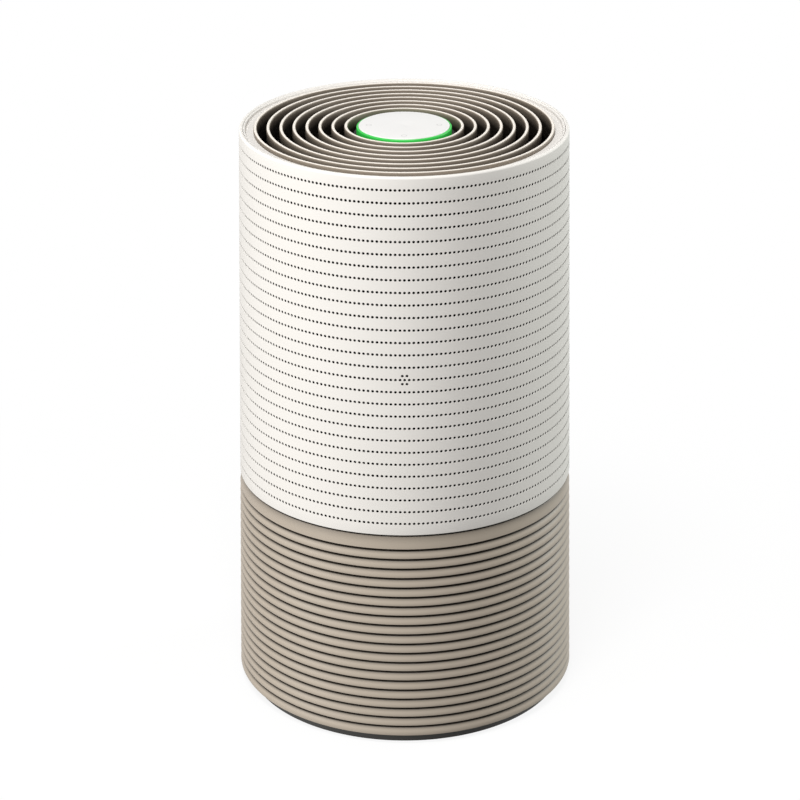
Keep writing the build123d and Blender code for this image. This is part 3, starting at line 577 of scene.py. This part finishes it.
def spin(loop, segments, firstTurn=0.0, lastTurn=360.0):
    # closed outline (radius, height) carried round the axis; angle 0 is the front
    whole = lastTurn - firstTurn >= 360
    count = segments if whole else segments + 1
    turn = np.radians(np.linspace(firstTurn, lastTurn, segments + 1)[:count])[:, None]
    r, z = loop[:, 0][None, :], loop[:, 1][None, :]
    points = np.stack([r * np.sin(turn), -r * np.cos(turn), z + 0 * turn], -1)
    n = len(loop)
    i = np.arange(segments)[:, None]
    j = np.arange(n)[None, :]
    nextI = (i + 1) % count
    nextJ = (j + 1) % n
    quads = np.stack([i * n + j, nextI * n + j, nextI * n + nextJ, i * n + nextJ], -1)
    return points.reshape(-1, 3), quads.reshape(-1, 4)


def spinDisc(loop, segments):
    # outline from the axis below to the axis above, carried round and closed by two fans
    points, quads = spin(loop, segments)
    n = len(loop)
    quads = quads.reshape(segments, n, 4)[:, :-1].reshape(-1, 4)
    low, high = len(points), len(points) + 1
    points = np.concatenate([points, [(0, 0, loop[0, 1]), (0, 0, loop[-1, 1])]])
    i = np.arange(segments)
    after = (i + 1) % segments
    fans = np.concatenate([np.stack([after * n, i * n, 0 * i + low], -1),
                           np.stack([i * n + n - 1, after * n + n - 1, 0 * i + high], -1)])
    return points, [quads, fans]


def merge(parts):
    # joins (points, quads) pairs into one set
    points = np.concatenate([p for p, q in parts])
    starts = np.cumsum([0] + [len(p) for p, q in parts])[:-1]
    quads = np.concatenate([q + s for (p, q), s in zip(parts, starts)])
    return points, quads


# white upper shell: rows of fine holes right through, a cluster of seven in front of the sensor
perforation = {
    "rows": 28,
    "holes": 238,                 # in each row
    "holeRadius": 0.92 * mm,
    "cellHeight": 2.6 * mm,
    "wall": 0.4 * mm,             # thin skin, so that the holes stay dark from the front
    "clusterRow": 15,
    "clusterRise": 2.66 * mm,
    "lipRound": 1.5 * mm,
    "lipWall": 2.4 * mm,
    "lipSoft": 0.6 * mm,
    "lipDepth": 3.0 * mm,         # down the inside of the lip, which then slopes back to the skin
    "lipReturn": 3.6 * mm,
    "edgeRound": 0.5 * mm,
    "firstBend": 12,              # degrees, where a round starts
    "crease": 40,
    "pieces": (("upperShellSkirt", 19, 27), ("upperShellMiddle", 10, 18), ("upperShellCrown", 0, 9)),
}


def holedBand(firstRow, lastRow):
    # grid of height levels by half-hole columns; round each hole centre the four grid cells give way
    # to eight quads that run from the cell's edge to the hole, on both skins, joined by the hole's wall
    p = perforation
    pitch = (tower["topLevel"] - tower["seam"]) / (p["rows"] + 1)
    half = p["cellHeight"] / 2
    columns = 2 * p["holes"]
    rowLevel = tower["topLevel"] - pitch * (np.arange(p["rows"]) + 1)
    rows = np.arange(firstRow, lastRow + 1)
    levels = [np.array([z - half, z, z + half]) for z in rowLevel[rows]]
    bottom = rowLevel[lastRow] - pitch / 2
    top = rowLevel[firstRow] + pitch / 2
    if lastRow == p["rows"] - 1:
        bottom = tower["seam"] + p["edgeRound"]
    if firstRow == 0:
        top = tower["topLevel"] - p["lipRound"]
    cluster = rowLevel[p["clusterRow"]]
    rise = p["clusterRise"]
    extra = []
    if firstRow <= p["clusterRow"] <= lastRow:
        extra = [cluster - rise, cluster - 2 * rise + half, cluster + rise, cluster + 2 * rise - half]
    # rounded, so that levels that fall together become one
    levels = np.unique(np.round(np.concatenate(levels + [[bottom, top], extra]), 7))
    turn = np.arange(columns) * math.pi / p["holes"]

    def nearest(z):
        return int(np.argmin(np.abs(levels - z)))

    def corner(row, column):
        return row * columns + column % columns

    centreL = np.repeat([nearest(z) for z in rowLevel[rows]], p["holes"])
    centreK = np.tile(np.arange(p["holes"]) * 2, len(rows))
    if extra:
        centreL = np.concatenate([centreL, [nearest(cluster - rise)] * 2, [nearest(cluster + rise)] * 2])
        centreK = np.concatenate([centreK, [1, columns - 1] * 2])
    count = len(levels)
    solid = np.ones((count - 1, columns), bool)
    for dl in (-1, 0):
        for dk in (-1, 0):
            solid[centreL + dl, (centreK + dk) % columns] = False
    l, k = np.nonzero(solid)
    plain = np.stack([corner(l, k), corner(l, k + 1), corner(l + 1, k + 1), corner(l + 1, k)], -1)
    # the eight neighbours of a hole's centre, from the right and round
    stepK = np.array([1, 1, 0, -1, -1, -1, 0, 1])
    stepL = np.array([0, 1, 1, 1, 0, -1, -1, -1])
    sides = len(stepK)
    edge = corner(centreL[:, None] + stepL, centreK[:, None] + stepK)
    holes = len(centreL)
    rim = count * columns + np.arange(holes * sides).reshape(holes, sides)
    nextRim = np.roll(rim, -1, 1)
    ring = np.stack([rim, edge, np.roll(edge, -1, 1), nextRim], -1).reshape(-1, 4)
    spread = np.arange(sides) * 2 * math.pi / sides
    middle = levels[centreL][:, None]
    zRim = middle + p["holeRadius"] * np.sin(spread)
    turnRim = turn[centreK][:, None] + p["holeRadius"] * np.cos(spread) / shellRadius(middle)
    turnAll = np.concatenate([np.tile(turn, count), turnRim.ravel()])
    zAll = np.concatenate([np.repeat(levels, columns), zRim.ravel()])

    def skin(depth):
        r = shellRadius(zAll) - depth
        return np.stack([r * np.sin(turnAll), -r * np.cos(turnAll), zAll], -1)

    outer, inner = skin(0), skin(p["wall"])
    total = len(outer)
    wall = np.stack([rim, nextRim, nextRim + total, rim + total], -1).reshape(-1, 4)
    sheet = np.concatenate([plain, ring])
    faces = np.concatenate([sheet, sheet[:, ::-1] + total, wall])
    return np.concatenate([outer, inner]), faces, levels, columns, total


def closeEdge(points, faces, start, end, path, columns, upward):
    # strip of quads from the outer skin's edge row over a (radius, height) path to the inner one's
    turn = np.arange(columns) * math.pi / perforation["holes"]
    rows = [start + np.arange(columns)]
    for r, z in path:
        rows.append(len(points) + np.arange(columns))
        points = np.concatenate([points, np.stack([r * np.sin(turn), -r * np.cos(turn), z + 0 * turn], -1)])
    rows = np.array(rows + [end + np.arange(columns)])
    a, b = rows[:-1], rows[1:]
    strip = np.stack([a, np.roll(a, -1, 1), np.roll(b, -1, 1), b], -1).reshape(-1, 4)
    return points, np.concatenate([faces, strip if upward else strip[:, ::-1]])


def lipPath(level):
    # quarter round outside, a small one inside, then down the lip and back to the inner skin
    p = perforation
    bend = np.radians(np.linspace(p["firstBend"], 90, 7))
    r = shellRadius(level) - p["lipRound"] * (1 - np.cos(bend))
    outside = list(zip(r, level + p["lipRound"] * np.sin(bend)))
    wall = shellRadius(level) - p["lipWall"]
    soft = p["lipSoft"]
    bend = np.radians(np.linspace(90, 180, 5))
    inside = list(zip(wall + soft + soft * np.cos(bend), tower["topLevel"] - soft + soft * np.sin(bend)))
    back = [(wall, level - p["lipDepth"]), (shellRadius(level) - p["wall"], level - p["lipReturn"])]
    return outside + inside + back


def footPath(level):
    # quarter round under the edge, then straight in to the inner skin
    p = perforation
    bend = np.radians(np.linspace(p["firstBend"], 90, 5))
    r = shellRadius(level) - p["edgeRound"] * (1 - np.cos(bend))
    outside = list(zip(r, level - p["edgeRound"] * np.sin(bend)))
    return outside + [(shellRadius(level) - p["wall"], level - p["edgeRound"])]


def makeUpperShell():
    # three bands of holes, each a closed shell of two skins
    p = perforation
    for name, firstRow, lastRow in p["pieces"]:
        points, faces, levels, columns, total = holedBand(firstRow, lastRow)
        topRow = (len(levels) - 1) * columns
        lip = lipPath(levels[-1]) if firstRow == 0 else []
        foot = footPath(levels[0]) if lastRow == p["rows"] - 1 else []
        points, faces = closeEdge(points, faces, topRow, total + topRow, lip, columns, True)
        points, faces = closeEdge(points, faces, 0, total, foot, columns, False)
        addPiece(name, points, [faces], "housing", "white_shell", ("upper_shell",), p["crease"])


makeUpperShell()

# taupe lower shell: leaning slats, posts behind them, a band under the seam and a flange at the foot
louvres = {
    "grooves": 20,
    "groove": 2.2 * mm,
    "grooveDrop": 0.5 * mm,       # middle of the opening below the line where two slats meet
    "firstDrop": 10.3 * mm,       # seam to the first groove
    "depth": 5.0 * mm,
    "lean": 1.1 * mm,             # top of a slat's face stands back
    "bendDrop": 2.0 * mm,         # below its top, where the face starts to curve back
    "bendDepth": 0.22 * mm,
    "bendRound": 6.0 * mm,
    "flankDepth": 2.6 * mm,       # above the face a flank runs up and in, so that a groove is a sharp V
    "flankRise": 1.2 * mm,
    "edge": 0.28 * mm,
    "deckLevel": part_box("fan_deck")[0].z,
    "deckGap": 0.4 * mm,
    "bandLean": 1.05 * mm,
    "bandRound": 0.5 * mm,
    "bandInner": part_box("fan_deck")[1].x + 0.12 * mm,
    "innerRound": 0.2 * mm,
    "tongue": 0.9 * mm,
    "frameInner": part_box("intake_screen")[1].x + 0.3 * mm,
    "flangeLap": 0.8 * mm,        # the flange reaches in past the posts
    "flangeRise": 0.1 * mm,
    "flangeTop": 2.5 * mm,
    "flangeSet": 2.4 * mm,        # back from the shell's outside
    "posts": 8,
    "postWidth": 6.0 * mm,
    "postRise": 0.2 * mm,
    "postLap": 0.4 * mm,          # into the slats
    "segments": 256,
}
# panel round the power inlet, low at the back
inletPanel = {
    "width": 33.6 * mm,
    "cover": 19.0 * mm,           # height that it must cover
    "overlap": 1.5 * mm,          # of the slats' ends
    "corner": 1.2 * mm,
    "boreWidth": 24.0 * mm,
    "boreTall": 13.0 * mm,
    "boreCorner": 0.8 * mm,
    "proud": 0.15 * mm,
    "depth": 9.0 * mm,
    "soft": 0.4 * mm,
    "level": (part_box("power_inlet")[0].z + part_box("power_inlet")[1].z) / 2,
}


def boxPoints(low, high):
    # the eight corners and six quads of an upright box
    x, y, z = np.array([low, high]).T
    points = np.array([(x[i], y[j], z[k]) for k in (0, 1) for j in (0, 1) for i in (0, 1)])
    quads = np.array([(0, 2, 3, 1), (4, 5, 7, 6), (0, 1, 5, 4), (2, 6, 7, 3), (0, 4, 6, 2), (1, 3, 7, 5)])
    return points, quads


def turnPoints(points, degrees):
    # turned about the tower's axis
    a = math.radians(degrees)
    x, y, z = points.T
    return np.stack([x * math.cos(a) - y * math.sin(a), x * math.sin(a) + y * math.cos(a), z], -1)


def endCaps(loopLength, rings):
    # fans that close the two ends of an open rib
    fan = np.arange(1, loopLength - 1)
    first = np.stack([0 * fan, fan, fan + 1], -1)
    last = first[:, ::-1] + (rings - 1) * loopLength
    return np.concatenate([first, last])


def slatLoop(low, high):
    # section of a slat: up the face, back over the bend to its top, along the flank and down behind
    s = louvres
    back = shellRadius(high) - s["depth"]
    crown = high + s["flankRise"]
    if crown > s["deckLevel"] - s["deckGap"]:
        back = max(back, s["bandInner"])
    knee = high - s["bendDrop"]
    corners = [(back, low), (shellRadius(low), low), (shellRadius(knee) - s["bendDepth"], knee),
               (shellRadius(high) - s["lean"], high), (shellRadius(high) - s["flankDepth"], crown),
               (back, crown)]
    edge = s["edge"]
    return softLoop(corners, [edge, edge, s["bendRound"], edge, edge, edge], 3)


def makeSlats(first):
    # sections carried round the axis, from the top down; returns what the inlet panel has to span
    s = louvres
    half = s["groove"] / 2
    pitch = (first - tower["footLevel"]) / s["grooves"]
    grooves = first - pitch * np.arange(s["grooves"])
    lows = np.append(grooves[1:] + half - s["grooveDrop"], tower["footLevel"])
    highs = grooves - half - s["grooveDrop"]
    # the panel takes the place of whole slats, so it ends at grooves above and below
    level = inletPanel["level"]
    cover = inletPanel["cover"] / 2
    cut = (lows < level + cover) & (highs > level - cover)
    panelTurn = math.degrees((inletPanel["width"] / 2 - inletPanel["overlap"]) / shellRadius(level))
    parts, caps = [], []
    for low, high, opened in zip(lows, highs, cut):
        rib = slatLoop(low, high)
        if opened:
            start = sum(len(p) for p, q in parts)
            caps.append(endCaps(len(rib), s["segments"] + 1) + start)
            parts.append(spin(rib, s["segments"], 180 + panelTurn, 540 - panelTurn))
        else:
            parts.append(spin(rib, s["segments"]))
    points, quads = merge(parts)
    addPiece("lowerShellSlats", points, [quads] + caps, "housing", "taupe_shell", ("lower_shell",))
    return lows[cut].min(), highs[cut].max()


def makeShellFrame(first):
    # band and flange carried round the axis, and posts that lean with the taper, each with a tongue
    # that runs up behind the band
    s = louvres
    foot = tower["footLevel"]
    deck = s["deckLevel"]
    top = tower["bandTop"]
    bandLow = first + s["groove"] / 2 - s["grooveDrop"]
    band = softLoop([(s["bandInner"], bandLow), (shellRadius(bandLow), bandLow),
                     (shellRadius(top) - s["bandLean"], top), (s["bandInner"], top)],
                    [s["innerRound"], s["edge"], s["bandRound"], s["innerRound"]], 6)
    inside = s["frameInner"]
    flangeTop = foot + s["flangeTop"]
    flange = softLoop(rectangle(inside - s["flangeLap"], shellRadius(flangeTop) - s["flangeSet"],
                                foot + s["flangeRise"], flangeTop), s["innerRound"], 3)
    parts = [spin(band, s["segments"]), spin(flange, s["segments"])]
    side = s["postWidth"] / 2
    for i in range(s["posts"]):
        turn = 360 * (i + 0.5) / s["posts"]
        points, quads = boxPoints((inside, -side, foot + s["postRise"]),
                                  (shellRadius(deck) - s["depth"] + s["postLap"], side, deck))
        lean = (shellRadius(foot) - shellRadius(deck)) * (points[:, 2] < deck / 2)
        points[:, 0] += np.where(points[:, 0] > inside + mm, lean, 0)
        parts.append((turnPoints(points, turn), quads))
        points, quads = boxPoints((s["bandInner"], -side, deck),
                                  (s["bandInner"] + s["tongue"], side, first + s["groove"]))
        parts.append((turnPoints(points, turn), quads))
    points, quads = merge(parts)
    addPiece("lowerShellFrame", points, [quads], "housing", "taupe_shell", ("lower_shell",))


def insetLoop(loop, by):
    # the loop scaled about its middle until each side stands in by the given distance
    middle = (loop.min(0) + loop.max(0)) / 2
    return middle + (loop - middle) * (1 - 2 * by / np.ptp(loop, axis=0))


def makeInletPanel(bottom, top):
    # curved panel with a rounded rectangular bore: a section of front face, side, back face and bore
    # wall, carried round the bore as a closed tube and bent to the shell's radius
    f = inletPanel
    level, proud, depth, soft = f["level"], f["proud"], f["depth"], f["soft"]
    wide = f["width"] / 2
    boreWide = f["boreWidth"] / 2
    boreHigh = f["boreTall"] / 2
    outer = softLoop(rectangle(-wide, wide, bottom - level, top - level), f["corner"], 8)
    bore = softLoop(rectangle(-boreWide, boreWide, -boreHigh, boreHigh), f["boreCorner"], 8)
    rings = [(insetLoop(bore, -soft), proud), (insetLoop(outer, soft), proud), (outer, proud - soft),
             (outer, -depth), (bore, -depth), (bore, proud - soft)]
    flat = np.stack([loop for loop, d in rings])
    away = np.array([d for loop, d in rings])[:, None]
    z = level + flat[:, :, 1]
    x = flat[:, :, 0]
    y = np.sqrt((shellRadius(z) + away) ** 2 - x ** 2)
    points = np.stack([x, y, z], -1)
    n = flat.shape[1]
    i = np.arange(len(rings))[:, None]
    j = np.arange(n)[None, :]
    nextI, nextJ = (i + 1) % len(rings), (j + 1) % n
    quads = np.stack([i * n + j, i * n + nextJ, nextI * n + nextJ, nextI * n + j], -1).reshape(-1, 4)
    addPiece("inletPanel", points, [quads], "housing", "taupe_shell")


firstGroove = tower["seam"] - louvres["firstDrop"]
panelBottom, panelTop = makeSlats(firstGroove)
makeShellFrame(firstGroove)
makeInletPanel(panelBottom, panelTop)

# dark base under the shell and the rubber ring it stands on
baseForm = {
    "radius": 107.2 * mm,
    "under": 0.4 * mm,
    "edge": 0.35 * mm,
    "wall": 3.2 * mm,
    "plate": 3.4 * mm,
    "skirtTop": 14.4 * mm,
    "skirtOuter": 95.04 * mm,
    "skirtInner": 93.04 * mm,
    "hub": 2.0 * mm,              # inside it a flat fan closes the plate
    "hubRound": 0.01 * mm,
    "rimRound": 0.3 * mm,
    "plateRound": 0.5 * mm,
    "skirtRound": 0.4 * mm,
    "footWidth": 9.0 * mm,
    "footRound": 0.5 * mm,
    "footSeat": 0.1 * mm,
    "segments": 256,
}


def makeBase():
    # both outlines are carried round the axis
    b = baseForm
    foot = tower["footLevel"]
    rim = b["radius"] - b["wall"]
    corners = [(b["hub"], b["under"]), (b["radius"], b["under"]), (b["radius"], foot), (rim, foot),
               (rim, b["plate"]), (b["skirtOuter"], b["plate"]), (b["skirtOuter"], b["skirtTop"]),
               (b["skirtInner"], b["skirtTop"]), (b["skirtInner"], b["plate"]), (b["hub"], b["plate"])]
    radii = [b["hubRound"], b["edge"], b["rimRound"], b["rimRound"], b["plateRound"], b["plateRound"],
             b["skirtRound"], b["skirtRound"], b["plateRound"], b["hubRound"]]
    points, faceSets = spinDisc(softLoop(corners, radii, 5), b["segments"])
    addPiece("baseCover", points, faceSets, "base", "dark_base", ("base_cover",))
    low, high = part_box("foot_ring")
    ring = softLoop(rectangle(high.x - b["footWidth"], high.x, low.z, high.z),
                    [b["footRound"], b["footRound"], b["footSeat"], b["footSeat"]], 4)
    points, quads = spin(ring, b["segments"])
    addPiece("footRing", points, [quads], "base", "foot_rubber", ("foot_ring",))


makeBase()

# outlet grille: rings with rounded crests, deep spokes, a shallow channel and a collar
grille = {
    "rings": 8,
    "firstRing": 36.75 * mm,
    "lastRing": 93.95 * mm,
    "wall": 2.1 * mm,
    "crest": 0.9 * mm,
    "height": 16.0 * mm,
    "underRound": 0.2 * mm,
    "channelDepth": 2.8 * mm,
    "channelFloor": 2.2 * mm,
    "channelRound": 1.2 * mm,
    "collarOuter": 101.5 * mm,
    "collarWall": 1.3 * mm,
    "collarDrop": 0.35 * mm,
    "collarEdge": 0.15 * mm,
    "collarCrest": 1.0 * mm,
    "spokes": 8,
    "spokeWall": 2.0 * mm,
    "spokeHeight": 6.0 * mm,
    "skirtDrop": 3.0 * mm,
    "skirtGap": 0.5 * mm,
    "skirtWall": 2.0 * mm,
    "skirtRound": 0.1 * mm,
    "lap": 1.0 * mm,              # of the skirt into the channel's floor, and of the spokes into the skirt
    "segments": 256,
}


def makeGrille():
    # outlines carried round the axis, and boxes for the spokes
    g = grille
    top = tower["topLevel"]
    low = top - g["height"]
    half = g["wall"] / 2
    edge = g["underRound"]
    parts = []
    for middle in np.linspace(g["firstRing"], g["lastRing"], g["rings"]):
        ring = softLoop(rectangle(middle - half, middle + half, low, top),
                        [edge, edge, g["crest"], g["crest"]], 6)
        parts.append(spin(ring, g["segments"]))
    floor = top - g["channelDepth"]
    under = floor - g["channelFloor"]
    wallIn = g["collarOuter"] - g["collarWall"]
    collarTop = top - g["collarDrop"]
    collar = softLoop([(g["lastRing"], under), (g["collarOuter"], under), (g["collarOuter"], collarTop),
                       (wallIn, collarTop), (wallIn, floor), (g["lastRing"], floor)],
                      [edge, edge, g["collarEdge"], g["collarCrest"], g["channelRound"], edge], 6)
    points, quads = spin(collar, g["segments"])
    addPiece("grilleChannel", points, [quads], "housing", "white_shell", ("outlet_grille",))
    skirtIn = g["lastRing"] + half + g["skirtGap"]
    bottom = low - g["skirtDrop"]
    skirt = softLoop(rectangle(skirtIn, skirtIn + g["skirtWall"], bottom, under + g["lap"]),
                     g["skirtRound"], 3)
    parts.append(spin(skirt, g["segments"]))
    side = g["spokeWall"] / 2
    for i in range(g["spokes"]):
        points, quads = boxPoints((g["firstRing"], -side, bottom),
                                  (skirtIn + g["lap"], side, bottom + g["spokeHeight"]))
        parts.append((turnPoints(points, 360 * (i + 0.5) / g["spokes"]), quads))
    points, quads = merge(parts)
    addPiece("outletGrille", points, [quads], "housing", "grille_taupe", ("outlet_grille",))


makeGrille()

# control disc with its lit ring
controls = {
    "discRadius": 28.8 * mm,
    "discThickness": 2.2 * mm,
    "discEdge": 0.5 * mm,
    "hub": 1.0 * mm,              # inside it a flat fan closes the disc
    "hubRound": 0.01 * mm,
    "skirtOuter": 27.2 * mm,
    "skirtInner": 26.0 * mm,
    "skirtDepth": 4.0 * mm,
    "edge": 0.2 * mm,
    "ringOuter": 30.1 * mm,
    "ringLipInner": 29.1 * mm,
    "ringInner": 27.5 * mm,
    "ringDrop": 0.45 * mm,
    "ringCrest": 0.8 * mm,
    "lipRound": 0.1 * mm,
    "shoulderDrop": 3.4 * mm,
    "segments": 192,
}


def makeControls():
    # both outlines are carried round the axis
    c = controls
    top = tower["topLevel"]
    under = top - c["discThickness"]
    skirtEnd = under - c["skirtDepth"]
    edge = c["edge"]
    loop = softLoop([(c["hub"], under), (c["skirtInner"], under), (c["skirtInner"], skirtEnd),
                     (c["skirtOuter"], skirtEnd), (c["skirtOuter"], under), (c["discRadius"], under),
                     (c["discRadius"], top), (c["hub"], top)],
                    [c["hubRound"], edge, edge, edge, edge, edge, c["discEdge"], c["hubRound"]], 6)
    points, faceSets = spinDisc(loop, c["segments"])
    addPiece("controlDisc", points, faceSets, "button", "disc_white", ("control_disc",))
    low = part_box("light_ring")[0].z
    crest = top - c["ringDrop"]
    shoulder = top - c["shoulderDrop"]
    ring = softLoop([(c["ringInner"], low), (c["ringOuter"], low), (c["ringOuter"], crest),
                     (c["ringLipInner"], crest), (c["ringLipInner"], shoulder), (c["ringInner"], shoulder)],
                    [edge, edge, c["ringCrest"], c["lipRound"], c["lipRound"], edge], 6)
    points, quads = spin(ring, c["segments"])
    addPiece("lightRing", points, [quads], "housing", "light_green", ("light_ring",))


makeControls()
